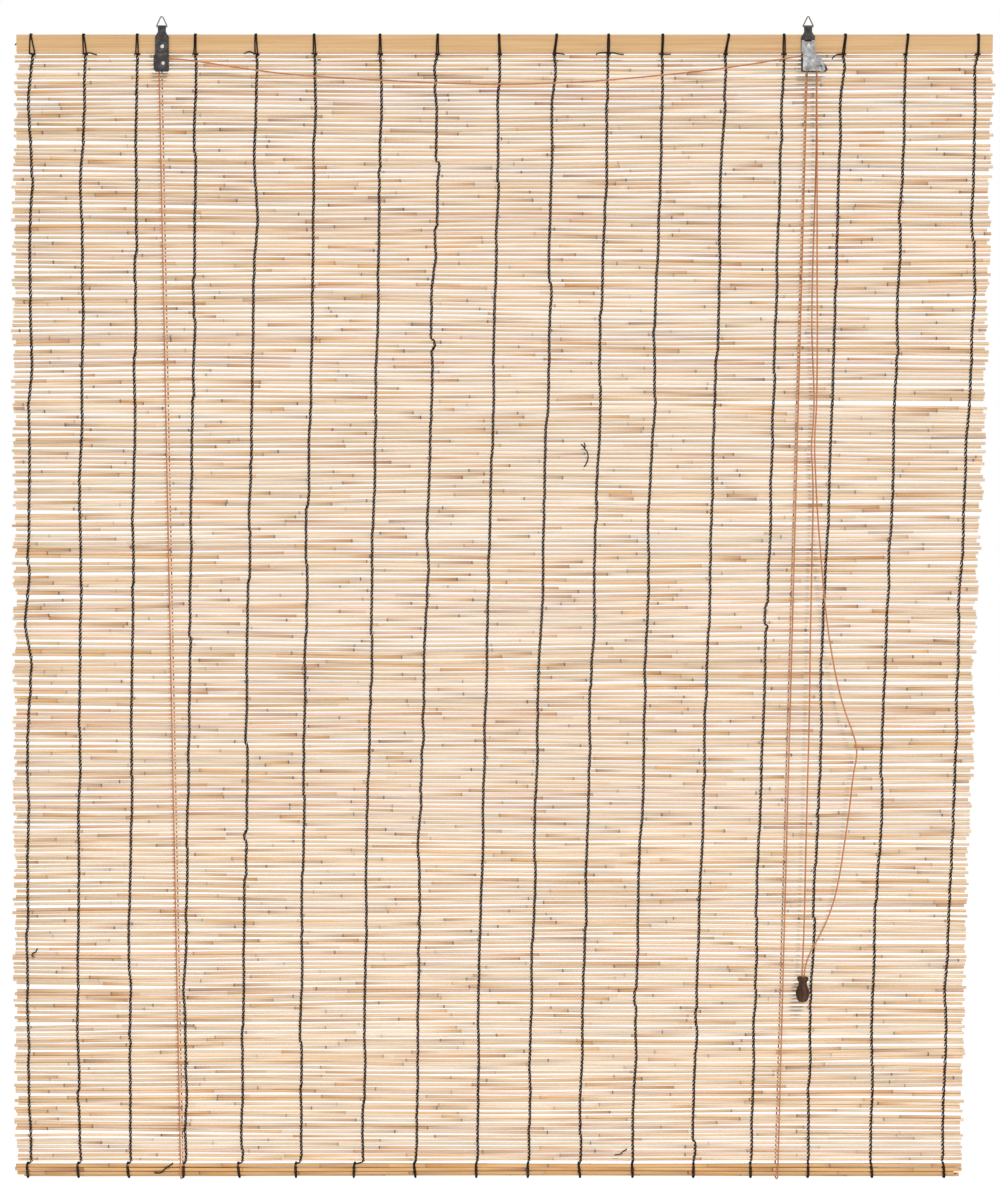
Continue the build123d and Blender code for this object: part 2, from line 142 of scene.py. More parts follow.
def smooth(points, per=8):
    """A smooth line through the points (Catmull-Rom)."""
    p = np.asarray(points, float)
    p = np.vstack([2 * p[0] - p[1], p, 2 * p[-1] - p[-2]])
    out = []
    for i in range(1, len(p) - 2):
        for t in np.linspace(0, 1, per, endpoint=False):
            a, b, c, d = p[i - 1:i + 3]
            out.append(0.5 * (2 * b + (c - a) * t + (2 * a - 5 * b + 4 * c - d) * t * t + (3 * b - a - 3 * c + d) * t ** 3))
    out.append(p[-2])
    return np.array(out)


def table(rows, z):
    zz, xx = zip(*rows)
    return np.interp(-z, [-q for q in zz], xx)


# ------------------------------------------------------------------ materials
def new_material(name, base, rough, metal=0.0):
    m = bpy.data.materials.new(name)
    m.use_nodes = True
    b = m.node_tree.nodes["Principled BSDF"]
    b.inputs["Base Color"].default_value = (*base, 1)
    b.inputs["Roughness"].default_value = rough
    b.inputs["Metallic"].default_value = metal
    return m, m.node_tree, b


def coords(nt, scale, rotation=(0, 0, 0)):
    tc = nt.nodes.new("ShaderNodeTexCoord")
    mp = nt.nodes.new("ShaderNodeMapping")
    mp.inputs["Scale"].default_value = scale
    mp.inputs["Rotation"].default_value = rotation
    nt.links.new(tc.outputs["Object"], mp.inputs["Vector"])
    return mp.outputs["Vector"]


def noise(nt, vec, scale=1.0, detail=3.0, rough=0.5, distortion=0.0):
    n = nt.nodes.new("ShaderNodeTexNoise")
    n.inputs["Scale"].default_value = scale
    n.inputs["Detail"].default_value = detail
    n.inputs["Roughness"].default_value = rough
    n.inputs["Distortion"].default_value = distortion
    nt.links.new(vec, n.inputs["Vector"])
    return n.outputs["Fac"]


def ramp(nt, fac, stops):
    r = nt.nodes.new("ShaderNodeValToRGB")
    e = r.color_ramp.elements
    while len(e) < len(stops):
        e.new(0.5)
    for q, (pos, colour) in zip(e, stops):
        q.position = pos
        q.color = (*colour, 1) if len(colour) == 3 else colour
    nt.links.new(fac, r.inputs["Fac"])
    return r.outputs["Color"]


def grey(*pairs):
    return [(p, (v, v, v)) for p, v in pairs]


def mix(nt, a, b, fac=1.0, kind="MIX"):
    n = nt.nodes.new("ShaderNodeMix")
    n.data_type = "RGBA"
    n.blend_type = kind
    for sock, val in ((n.inputs[0], fac), (n.inputs[6], a), (n.inputs[7], b)):
        if isinstance(val, bpy.types.NodeSocket):
            nt.links.new(val, sock)
        elif isinstance(val, (int, float)):
            sock.default_value = val
        else:
            sock.default_value = (*val, 1)
    return n.outputs[2]


def to_range(nt, fac, lo, hi):
    n = nt.nodes.new("ShaderNodeMapRange")
    n.inputs["To Min"].default_value = lo
    n.inputs["To Max"].default_value = hi
    nt.links.new(fac, n.inputs["Value"])
    return n.outputs["Result"]


def bump(nt, bsdf, height, strength, distance):
    n = nt.nodes.new("ShaderNodeBump")
    n.inputs["Strength"].default_value = strength
    n.inputs["Distance"].default_value = distance
    nt.links.new(height, n.inputs["Height"])
    nt.links.new(n.outputs["Normal"], bsdf.inputs["Normal"])


def attribute(nt, name):
    n = nt.nodes.new("ShaderNodeAttribute")
    n.attribute_name = name
    return n.outputs["Color"]


def reed_material(name):
    m, nt, b = new_material(name, (0.85, 0.68, 0.45), 0.42)
    fibre = noise(nt, coords(nt, (9, 900, 900)), 1.0, 4, 0.6)
    blotch = noise(nt, coords(nt, (16, 240, 240)), 1.0, 2, 0.5)
    c = mix(nt, attribute(nt, "tint"), ramp(nt, fibre, grey((0.28, 0.80), (0.62, 1.06))), 1.0, "MULTIPLY")
    c = mix(nt, c, ramp(nt, blotch, [(0.30, (0.93, 0.86, 0.78)), (0.60, (1.0, 1.0, 1.0))]), 1.0, "MULTIPLY")
    nt.links.new(c, b.inputs["Base Color"])
    nt.links.new(to_range(nt, fibre, 0.34, 0.52), b.inputs["Roughness"])
    bump(nt, b, fibre, 0.30, 0.0002)
    return m


MAT_REED = reed_material("reed")
MAT_BUNDLE = reed_material("bundle_reed")


def slat_material():
    m, nt, b = new_material("slat_wood", (0.78, 0.55, 0.31), 0.5)
    grain = noise(nt, coords(nt, (5, 120, 420)), 1.0, 5, 0.62, 0.25)
    wide = noise(nt, coords(nt, (3.2, 30, 70)), 1.0, 3, 0.5, 0.6)
    pores = noise(nt, coords(nt, (110, 1500, 1500)), 1.0, 2, 0.5)
    c = ramp(nt, grain, [(0.30, (0.640, 0.400, 0.200)), (0.52, (0.730, 0.490, 0.262)), (0.72, (0.785, 0.560, 0.320))])
    c = mix(nt, c, ramp(nt, wide, [(0.32, (0.93, 0.86, 0.76)), (0.62, (1.04, 1.03, 1.0))]), 1.0, "MULTIPLY")
    c = mix(nt, c, ramp(nt, pores, [(0.24, (0.72, 0.60, 0.48)), (0.34, (1, 1, 1))]), 0.8, "MULTIPLY")
    nt.links.new(c, b.inputs["Base Color"])
    nt.links.new(to_range(nt, grain, 0.42, 0.6), b.inputs["Roughness"])
    bump(nt, b, grain, 0.25, 0.0003)
    return m


def knob_material():
    m, nt, b = new_material("knob_wood", (0.07, 0.03, 0.022), 0.5)
    grain = noise(nt, coords(nt, (260, 260, 45)), 1.0, 4, 0.6, 0.3)
    turned = noise(nt, coords(nt, (8, 8, 900)), 1.0, 2, 0.5)
    c = ramp(nt, grain, [(0.30, (0.022, 0.010, 0.006)), (0.55, (0.060, 0.028, 0.016)), (0.75, (0.110, 0.055, 0.032))])
    b.inputs["Specular IOR Level"].default_value = 0.25
    nt.links.new(c, b.inputs["Base Color"])
    nt.links.new(to_range(nt, grain, 0.42, 0.62), b.inputs["Roughness"])
    bump(nt, b, turned, 0.25, 0.0002)
    return m


def thread_material():
    m, nt, b = new_material("thread", (0.03, 0.022, 0.018), 0.85)
    lint = noise(nt, coords(nt, (1500, 1500, 1500)), 1.0, 3, 0.6)
    fade = noise(nt, coords(nt, (60, 60, 60)), 1.0, 2, 0.5)
    c = ramp(nt, lint, [(0.35, (0.014, 0.009, 0.007)), (0.6, (0.034, 0.022, 0.018)), (0.8, (0.110, 0.078, 0.060))])
    c = mix(nt, c, ramp(nt, fade, grey((0.35, 0.75), (0.65, 1.25))), 1.0, "MULTIPLY")
    nt.links.new(c, b.inputs["Base Color"])
    b.inputs["Specular IOR Level"].default_value = 0.15
    bump(nt, b, lint, 0.6, 0.0003)
    return m


def cord_material():
    m, nt, b = new_material("cord", (0.62, 0.22, 0.09), 0.6)
    w = nt.nodes.new("ShaderNodeTexVoronoi")
    w.inputs["Scale"].default_value = 1.0
    nt.links.new(coords(nt, (1500, 1500, 900)), w.inputs["Vector"])
    strand = w.outputs["Distance"]
    fade = noise(nt, coords(nt, (40, 40, 25)), 1.0, 2, 0.5)
    # each strand is lighter at its middle and darker towards its edges: painted shade in the creases between strands
    c = ramp(nt, strand, [(0.15, (0.70, 0.33, 0.14)), (0.55, (0.54, 0.205, 0.078)), (0.9, (0.32, 0.105, 0.040))])
    c = mix(nt, c, ramp(nt, fade, [(0.3, (0.90, 0.84, 0.80)), (0.7, (1.12, 1.14, 1.16))]), 1.0, "MULTIPLY")
    nt.links.new(c, b.inputs["Base Color"])
    b.inputs["Sheen Weight"].default_value = 0.2
    bump(nt, b, strand, 0.5, 0.0003)
    return m


def black_steel():
    m, nt, b = new_material("black_steel", (0.05, 0.047, 0.046), 0.5, 0.35)
    cloud = noise(nt, coords(nt, (160, 160, 160)), 1.0, 5, 0.65)
    speck = noise(nt, coords(nt, (900, 900, 900)), 1.0, 3, 0.7)
    scratch = noise(nt, coords(nt, (300, 300, 1700), (0, 0.7, 0)), 1.0, 4, 0.6, 1.2)
    c = ramp(nt, cloud, [(0.32, (0.030, 0.027, 0.027)), (0.52, (0.065, 0.059, 0.057)), (0.70, (0.140, 0.130, 0.124))])
    c = mix(nt, c, (0.42, 0.41, 0.39), ramp(nt, speck, grey((0.66, 0.0), (0.76, 0.75))))
    c = mix(nt, c, (0.30, 0.29, 0.28), ramp(nt, scratch, grey((0.66, 0.0), (0.74, 0.55))))
    nt.links.new(c, b.inputs["Base Color"])
    nt.links.new(to_range(nt, cloud, 0.36, 0.62), b.inputs["Roughness"])
    bump(nt, b, cloud, 0.35, 0.0004)
    return m


def galvanised():
    m, nt, b = new_material("galvanised", (0.45, 0.45, 0.43), 0.42, 0.3)
    v = nt.nodes.new("ShaderNodeTexVoronoi")
    v.inputs["Scale"].default_value = 1.0
    v.inputs["Randomness"].default_value = 1.0
    nt.links.new(coords(nt, (330, 330, 330)), v.inputs["Vector"])
    cell = nt.nodes.new("ShaderNodeSeparateColor")
    nt.links.new(v.outputs["Color"], cell.inputs[0])
    cloud = noise(nt, coords(nt, (120, 120, 120)), 1.0, 4, 0.6)
    grime = noise(nt, coords(nt, (420, 420, 420)), 1.0, 4, 0.7)
    c = ramp(nt, cell.outputs[0], [(0.0, (0.36, 0.37, 0.385)), (0.5, (0.54, 0.545, 0.55)), (1.0, (0.74, 0.745, 0.75))])
    c = mix(nt, c, ramp(nt, cloud, [(0.35, (0.62, 0.60, 0.60)), (0.60, (1.06, 1.07, 1.08))]), 1.0, "MULTIPLY")
    c = mix(nt, c, (0.10, 0.09, 0.085), ramp(nt, grime, grey((0.64, 0.0), (0.74, 0.75))))
    nt.links.new(c, b.inputs["Base Color"])
    nt.links.new(to_range(nt, cell.outputs[1], 0.30, 0.52), b.inputs["Roughness"])
    bump(nt, b, grime, 0.2, 0.0003)
    return m


def steel(name, base, spread=0.25, rough=(0.25, 0.42), metal=1.0):
    m, nt, b = new_material(name, base, 0.3, metal)
    n = noise(nt, coords(nt, (500, 500, 500)), 1.0, 4, 0.65)
    lo = tuple(v * (1 - spread) for v in base)
    hi = tuple(min(1, v * (1 + spread)) for v in base)
    nt.links.new(ramp(nt, n, [(0.3, lo), (0.7, hi)]), b.inputs["Base Color"])
    nt.links.new(to_range(nt, n, *rough), b.inputs["Roughness"])
    bump(nt, b, n, 0.15, 0.0002)
    return m


MAT_SLAT, MAT_KNOB, MAT_THREAD, MAT_CORD = slat_material(), knob_material(), thread_material(), cord_material()
MAT_BLACK, MAT_ZINC = black_steel(), galvanised()
MAT_BRIGHT = steel("bright_steel", (0.88, 0.87, 0.85), 0.10, metal=0.55)
MAT_WIRE = steel("wire", (0.27, 0.24, 0.22), 0.3, metal=0.6)
MAT_WIRE_BROWN = steel("wire_brown", (0.21, 0.15, 0.125), 0.3, metal=0.5)
MAT_PULLEY = steel("pulley_metal", (0.50, 0.48, 0.44), 0.3)

for name, material in {
    "head_slat": MAT_SLAT, "left_bracket": MAT_BLACK, "right_bracket": MAT_BLACK, "lock_plate": MAT_ZINC, "left_ring": MAT_WIRE,
    "right_ring": MAT_WIRE_BROWN, "left_pulley": MAT_PULLEY, "lock_pulley_inner": MAT_PULLEY, "lock_pulley_outer": MAT_PULLEY,
    "left_axle": MAT_BRIGHT, "lock_axle": MAT_BRIGHT, "bracket_nails": MAT_BRIGHT, "cord_staples": MAT_WIRE, "lock_roller": MAT_ZINC,
    "pull_knob": MAT_KNOB,
}.items():
    ob = nodes[name]
    ob.data.materials.clear()
    ob.data.materials.append(material)

# ------------------------------------------------------------------ reeds
CREAM = np.array((0.850, 0.635, 0.415))
PALE = np.array((0.875, 0.705, 0.520))
PINK = np.array((0.830, 0.600, 0.450))
TAN = np.array((0.720, 0.410, 0.145))
ORANGE = np.array((0.620, 0.285, 0.080))
BROWN = np.array((0.390, 0.190, 0.105))
DARK = np.array((0.130, 0.070, 0.042))
SIDES = 10
GRID = np.linspace(-606, 634, 63)


def reed_course():
    """Centre height of each reed along the grid: common waves, wedge gaps near the ends, and each reed's own bend."""
    rng = random.Random(7)
    radii, rows = [], []
    wedges = []
    for _ in range(80):
        side = rng.choice((-1, 1))
        wedges.append((Z_FIRST - rng.uniform(5, N_REEDS - 5) * PITCH, side, rng.uniform(0.8, 2.3), rng.uniform(110, 460)))
    for i in range(N_REEDS):
        z = Z_FIRST - i * PITCH
        env = min(1.0, (i + 1) / 9, (N_REEDS - i) / 9)
        r = rng.triangular(1.60, 2.08, 1.88)
        x = GRID
        w = env * (0.95 * np.sin(2 * math.pi * (x / 1900 + z / 600) + 0.6) + 0.75 * np.sin(2 * math.pi * (x / 830 - z / 310) + 2.1)
                   + 0.45 * np.sin(2 * math.pi * (x / 450 + z / 170) + 4.0))
        for wz, side, amp, reach in wedges:
            d = z - wz
            if abs(d) > 60:
                continue
            edge = (x - 625) if side > 0 else (-597 - x)
            w = w + env * amp * math.copysign(1, d) * math.exp(-abs(d) / 13) * np.clip(1 + edge / reach, 0, 1) ** 1.5
        tilt, bow = rng.uniform(-1.6, 1.6) * env, rng.uniform(-0.8, 0.8) * env
        ph, ph2 = rng.uniform(0, 6.28), rng.uniform(0, 6.28)
        w = w + tilt * x / 600 + bow * np.sin(math.pi * (x + 600) / 1220 + ph) + 0.32 * np.sin(2 * math.pi * x / rng.uniform(230, 420) + ph2)
        rows.append(z + w)
        radii.append(r)
    # no reed leans into the slat or into the one above it
    rows[0] = np.minimum(rows[0], -44.9 - radii[0])
    for i in range(1, N_REEDS):
        rows[i] = np.minimum(rows[i], rows[i - 1] - radii[i] - radii[i - 1] - 0.16)
    floor_z = -1436.6
    for i in range(N_REEDS - 1, 0, -1):
        rows[i] = np.maximum(rows[i], floor_z + radii[i])
        if i < N_REEDS - 1:
            rows[i] = np.maximum(rows[i], rows[i + 1] + radii[i] + radii[i + 1] + 0.12)
    return rows, radii


ROWS, RADII = reed_course()


def reed(build, x0, x1, zfun, yfun, r0, rng, palette, sheath_share):
    """One reed: a slightly tapering cane with nodes, stained stretches beside some of them, and hollow cut ends."""
    way = rng.choice((-1, 1))
    taper = rng.uniform(0.0, 0.05) * way
    xn = x0 + rng.uniform(10, 150)
    node_x = []
    while xn < x1 - 6:
        if xn > x0 + 6:
            node_x.append(xn)
        xn += rng.uniform(120, 215)
    base = palette["base"](rng)
    # tints are laid down as (from, to, colour, strength at from, strength at to)
    marks = []
    for x in node_x:
        if rng.random() < sheath_share:
            length = min(rng.uniform(28, 95) * (1.8 if rng.random() < 0.25 else 1), x1 - x0)
            colour = palette["stain"](rng)
            marks.append((x, x - way * length, colour, rng.uniform(0.35, 0.9), 0.0 if rng.random() < 0.85 else 0.3))
    if rng.random() < 0.16:
        a = rng.uniform(x0, x1 - 100)
        marks.append((a, a + rng.uniform(60, 280), palette["stain"](rng), rng.uniform(0.15, 0.4), rng.uniform(0.1, 0.4)))
    cuts = {x0, x1}
    x = x0
    while x < x1 - 60:
        x += rng.uniform(60, 95)
        cuts.add(min(x, x1 - 8))
    for x in node_x:
        cuts |= {x - 1.3, x - 0.35, x + 0.35, x + 1.3}
    for a, b, *_ in marks:
        cuts |= {min(max(b, x0 + 1), x1 - 1), min(max(b + (1 if a < b else -1) * 0.8, x0 + 1.5), x1 - 1.5)}
    xs = np.array(sorted(cuts))
    xs = xs[np.concatenate([[True], np.diff(xs) > 0.25])]
    z, y = zfun(xs), yfun(xs)
    r = r0 * (1 + taper * (xs - (x0 + x1) / 2) / 600)
    tint = np.repeat(base[None, :], len(xs), axis=0)
    drift = 0.05 * np.sin(xs / rng.uniform(70, 140) + rng.uniform(0, 6))
    tint = tint * (1 + drift[:, None])
    for a, b, colour, sa, sb in marks:
        t = (xs - a) / (b - a)
        s = np.where((t >= -0.002) & (t <= 1.0), sa + (sb - sa) * np.clip(t, 0, 1) ** 1.1, 0.0)
        tint = tint * (1 - s[:, None]) + colour[None, :] * s[:, None]
        r = r * (1 + 0.035 * (s > 0.02))
    for x in node_x:
        k = rng.uniform(0.25, 1.0)
        near = np.abs(xs - x)
        s = np.where(near < 0.5, 1.0, np.where(near < 1.4, 0.25, 0.0)) * k
        tint = tint * (1 - s[:, None]) + DARK[None, :] * s[:, None]
        r = r * (1 + 0.085 * (near < 0.5) + 0.02 * (near < 1.4))
    ang = np.linspace(0, 2 * math.pi, SIDES, endpoint=False) + rng.uniform(0, 0.6)
    oval = rng.uniform(0.95, 1.0)

    def ring(xv, yv, zv, rv):
        return np.stack([np.full(SIDES, xv), yv + rv * oval * np.cos(ang), zv + rv * np.sin(ang)], axis=-1)

    # hollow ends: the wall, then the bore a few millimetres deep. The cut face darkens from its rim towards the bore,
    # and the lip and bore are tinted dark as painted shade inside the hollow.
    lip, deep = 0.56, rng.uniform(3.0, 6.0)
    skew = rng.uniform(-0.35, 0.35)
    rings = [ring(x0 + deep, y[0], z[0], r[0] * 0.48), ring(x0 + 0.1, y[0], z[0], r[0] * lip), ring(x0 - 0.02, y[0], z[0], r[0] * 0.93)]
    tints = [DARK, DARK * 1.6, base * 0.72]
    for q in range(len(xs)):
        rings.append(ring(xs[q] + (0.12 if q == 0 else (-0.12 if q == len(xs) - 1 else 0)), y[q], z[q], r[q]))
        tints.append(tint[q])
    # the far end gets the same darker cut face and the same painted shade in the lip and bore
    rings += [ring(x1 + 0.02, y[-1], z[-1], r[-1] * 0.93), ring(x1 - 0.1, y[-1], z[-1], r[-1] * lip), ring(x1 - deep, y[-1], z[-1], r[-1] * 0.48)]
    tints += [base * 0.72, DARK * 1.6, DARK]
    rings = np.array(rings)
    # the cut is not quite square
    for k in (1, 2, 3):
        rings[k, :, 0] += skew * np.sin(ang)
        rings[-1 - k, :, 0] += skew * np.cos(ang)
    build.rings(rings, np.array(tints))


def mat_base(mid):
    def pick(rng):
        p = rng.random()
        c = CREAM if p < 0.55 else PALE if p < 0.88 else PINK
        c = c * rng.uniform(0.92, 1.06)
        if rng.random() < 0.08:
            c = c * (1 - 0.30) + TAN * 0.30
        return c
    return pick


def mat_stain(rng):
    p = rng.random()
    c = TAN if p < 0.50 else ORANGE if p < 0.93 else BROWN
    return c * rng.uniform(0.9, 1.2)


PALETTE = {"base": mat_base(0), "stain": mat_stain}
rng = random.Random(31)
builds = [Build() for _ in range(32)]
for i in range(N_REEDS):
    z = Z_FIRST - i * PITCH
    x0 = float(table(LEFT_EDGE, z)) + rng.uniform(-3.2, 3.2)
    x1 = float(table(RIGHT_EDGE, z)) + rng.uniform(-3.2, 3.2)
    row = ROWS[i]
    ph = rng.uniform(0, 6.28)
    reed(builds[zone_of(z)], x0, x1, lambda x, row=row: np.interp(x, GRID, row),
         lambda x, ph=ph: 0.22 * np.sin(x / 110 + ph), RADII[i], rng, PALETTE, 0.66)
for k, b in enumerate(builds):
    ob = hang(b.done(f"mat_reeds_{k:02d}", MAT_REED, "reed"), k)
    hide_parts(*sorted({f"reeds_{max(1, k):02d}", f"reeds_{min(31, k + 1):02d}"}))

# ------------------------------------------------------------------ bottom bundle
BUNDLE = [(-2.3, -1441.3), (2.3, -1442.5), (-2.3, -1446.0), (2.3, -1447.2), (-1.2, -1450.9), (2.2, -1453.9)]
ENDS = [(-597.5, 606.0), (-592.0, 600.5), (-598.8, 603.0), (-590.5, 607.6), (-596.0, 596.5), (-588.0, 604.0)]


def bundle_base(rng):
    return (CREAM * 0.22 + TAN * 0.78) * rng.uniform(0.80, 1.08)


def bundle_stain(rng):
    return (ORANGE if rng.random() < 0.7 else BROWN) * rng.uniform(0.85, 1.2)


b = Build()
rng = random.Random(5)
for k, ((y, z), (x0, x1)) in enumerate(zip(BUNDLE, ENDS)):
    ph, amp, lam = rng.uniform(0, 6.28), rng.uniform(0.3, 0.6), rng.uniform(95, 170)
    reed(b, x0, x1, lambda x, z=z, ph=ph, amp=amp, lam=lam: z + amp * np.sin(x / lam + ph),
         lambda x, y=y, ph=ph: y + 0.25 * np.sin(x / 120 + 2 * ph), 2.32, rng, {"base": bundle_base, "stain": bundle_stain}, 0.75)
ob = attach(b.done("bundle_canes", MAT_BUNDLE, "bundle_reed"), "bundle")
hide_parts("bundle_reeds")

# ------------------------------------------------------------------ warp threads: two strands twisted between the reeds
COURSE_Z = [-62 - 46 * k for k in range(30)]
COURSE = [
    [-558.2, -562.2, -559.7, -559.2, -561.2, -563.1, -564.0, -564.6, -563.3, -567.9, -566.9, -568.6, -568.8, -570.7, -571.7, -576.3, -569.6, -571.0, -574.6, -575.7, -574.5, -576.6, -578.0, -579.1, -578.6, -579.9, -580.5, -580.1, -580.5, -578.3],
    [-492.8, -493.7, -496.3, -499.9, -498.8, -498.3, -499.6, -499.8, -501.0, -500.2, -502.0, -504.4, -504.8, -505.1, -505.9, -507.3, -508.2, -508.9, -509.5, -509.8, -512.3, -512.5, -513.3, -514.5, -515.7, -516.0, -517.3, -516.4, -516.9, -515.1],
    [-429.0, -428.7, -430.2, -430.9, -430.7, -431.7, -434.1, -433.5, -435.2, -435.2, -436.1, -437.7, -439.4, -439.7, -440.0, -440.5, -442.3, -443.2, -443.6, -444.2, -445.8, -446.6, -447.7, -448.8, -449.7, -449.2, -451.2, -451.8, -451.2, -451.5],
    [-355.0, -356.8, -358.4, -358.7, -359.6, -360.6, -361.1, -360.9, -362.5, -362.9, -364.8, -365.5, -366.9, -367.4, -368.3, -369.2, -371.5, -372.3, -372.6, -373.1, -375.5, -376.4, -376.9, -377.7, -379.0, -381.2, -380.7, -380.9, -379.3, -381.7],
    [-280.3, -281.9, -284.6, -284.0, -281.2, -286.2, -287.0, -287.7, -289.8, -290.2, -290.7, -291.6, -293.5, -293.9, -295.5, -297.8, -298.0, -298.1, -299.3, -300.4, -301.8, -302.4, -302.9, -304.8, -305.5, -305.4, -307.7, -307.7, -308.2, -309.3],
    [-209.6, -209.0, -211.1, -212.2, -212.5, -213.2, -214.0, -215.0, -216.6, -217.1, -219.6, -219.8, -222.2, -222.5, -222.3, -223.4, -225.8, -224.8, -227.5, -227.5, -228.8, -229.9, -230.7, -231.5, -232.1, -232.2, -234.8, -234.5, -234.5, -235.4],
    [-127.5, -126.4, -129.4, -129.9, -130.0, -130.9, -132.3, -133.1, -135.7, -136.1, -137.2, -137.1, -139.6, -139.7, -140.6, -142.1, -142.5, -144.4, -145.4, -146.2, -148.0, -148.8, -149.9, -149.9, -151.4, -152.4, -153.3, -153.6, -154.9, -155.4],
    [-62.0, -58.8, -57.8, -60.7, -60.0, -58.9, -64.3, -66.1, -65.1, -66.7, -69.5, -70.3, -72.7, -72.4, -72.8, -74.6, -76.6, -78.1, -78.1, -78.3, -80.3, -84.7, -82.9, -83.5, -84.7, -83.4, -87.2, -87.1, -87.6, -88.7],
    [18.7, 16.4, 16.3, 15.8, 14.1, 14.2, 12.6, 11.3, 10.4, 10.2, 8.3, 7.4, 6.8, 5.4, 4.4, 2.9, 1.7, 1.0, -0.5, -1.2, -3.0, -3.3, -4.2, -5.6, -6.6, -7.5, -9.3, -8.4, -9.8, -10.1],
    [88.0, 82.7, 83.4, 82.4, 81.7, 79.9, 81.4, 80.0, 79.1, 78.1, 74.7, 73.3, 74.1, 71.9, 71.4, 69.8, 67.9, 67.3, 65.9, 66.0, 63.5, 62.3, 62.6, 61.2, 59.2, 59.6, 57.4, 56.3, 56.4, 55.6],
    [151.5, 150.9, 150.3, 151.1, 149.1, 146.3, 144.8, 144.3, 143.4, 143.8, 143.2, 140.3, 138.0, 138.1, 136.2, 137.0, 134.0, 132.4, 132.3, 131.4, 130.7, 129.0, 126.9, 127.3, 126.2, 124.7, 123.4, 123.3, 121.7, 121.4],
    [218.3, 218.8, 217.9, 217.3, 215.0, 213.1, 211.1, 210.9, 212.0, 210.9, 207.7, 206.1, 203.7, 204.3, 204.5, 203.5, 201.4, 201.2, 199.1, 198.8, 198.1, 195.5, 194.3, 193.8, 193.6, 190.9, 190.0, 190.7, 188.7, 188.3],
    [297.6, 295.4, 293.1, 292.1, 291.5, 291.0, 289.7, 289.0, 287.9, 287.1, 285.0, 284.2, 283.0, 281.6, 281.4, 280.5, 278.7, 277.7, 275.8, 275.5, 273.8, 273.6, 271.0, 270.8, 269.8, 268.0, 267.8, 267.1, 266.2, 265.7],
    [368.5, 366.2, 366.2, 365.3, 364.2, 362.4, 362.8, 360.8, 360.8, 358.7, 358.2, 355.8, 355.5, 354.8, 353.5, 351.8, 350.8, 349.8, 349.1, 348.1, 346.7, 345.7, 344.0, 343.0, 342.8, 342.0, 340.7, 340.3, 339.2, 338.8],
    [442.6, 437.8, 437.6, 436.5, 436.5, 436.1, 435.4, 434.0, 432.8, 431.3, 430.9, 429.5, 428.3, 426.7, 425.5, 424.4, 422.6, 422.7, 422.3, 420.8, 418.9, 418.1, 416.1, 415.2, 414.3, 412.1, 412.2, 412.0, 410.7, 411.3],
    [517.3, 517.2, 517.6, 516.3, 513.9, 514.4, 511.7, 511.9, 513.5, 510.3, 509.8, 508.9, 507.6, 504.1, 504.4, 502.6, 502.1, 501.1, 499.7, 498.7, 498.6, 497.9, 495.2, 493.0, 493.3, 492.5, 490.8, 491.2, 491.8, 490.9],
    [603.1, 605.3, 605.2, 605.2, 603.2, 605.8, 608.1, 604.6, 605.1, 602.7, 599.7, 599.8, 598.4, 597.6, 593.7, 592.7, 593.8, 591.9, 592.8, 590.2, 590.3, 588.2, 588.9, 585.1, 584.7, 582.5, 583.6, 583.8, 582.4, 582.1],
]
# lashings on the slat: x at the top, and of the left and right side at the foot
LASH = [(-557.7, -559.4, -553.1), (-493.0, -493.6, -489.3), (-427.0, -430.1, -424.5), (-355.6, -358.4, -353.9), (-281.3, -283.4, -278.0),
        (-209.6, -211.8, -206.7), (-128.6, -130.9, -126.0), (-57.7, -60.2, -55.7), (17.7, 16.5, 20.3), (88.4, 84.0, 87.6),
        (152.3, 150.5, 153.6), (218.9, 216.9, 219.4), (299.9, 294.2, 298.1), (368.0, 365.9, 370.3), (443.4, 439.0, 443.2),
        (520.1, 517.2, 519.2), (606.8, 605.3, 608.3)]
STRAND_R = 1.26
PRESS = 0.68                                       # a strand is pressed flat against its reed
PER = 4                                             # stations from reed to reed
rng = random.Random(12)
builds = [Build() for _ in range(32)]
zs_nominal = Z_FIRST - np.arange(N_REEDS) * PITCH
warp_top, warp_bottom = [], []
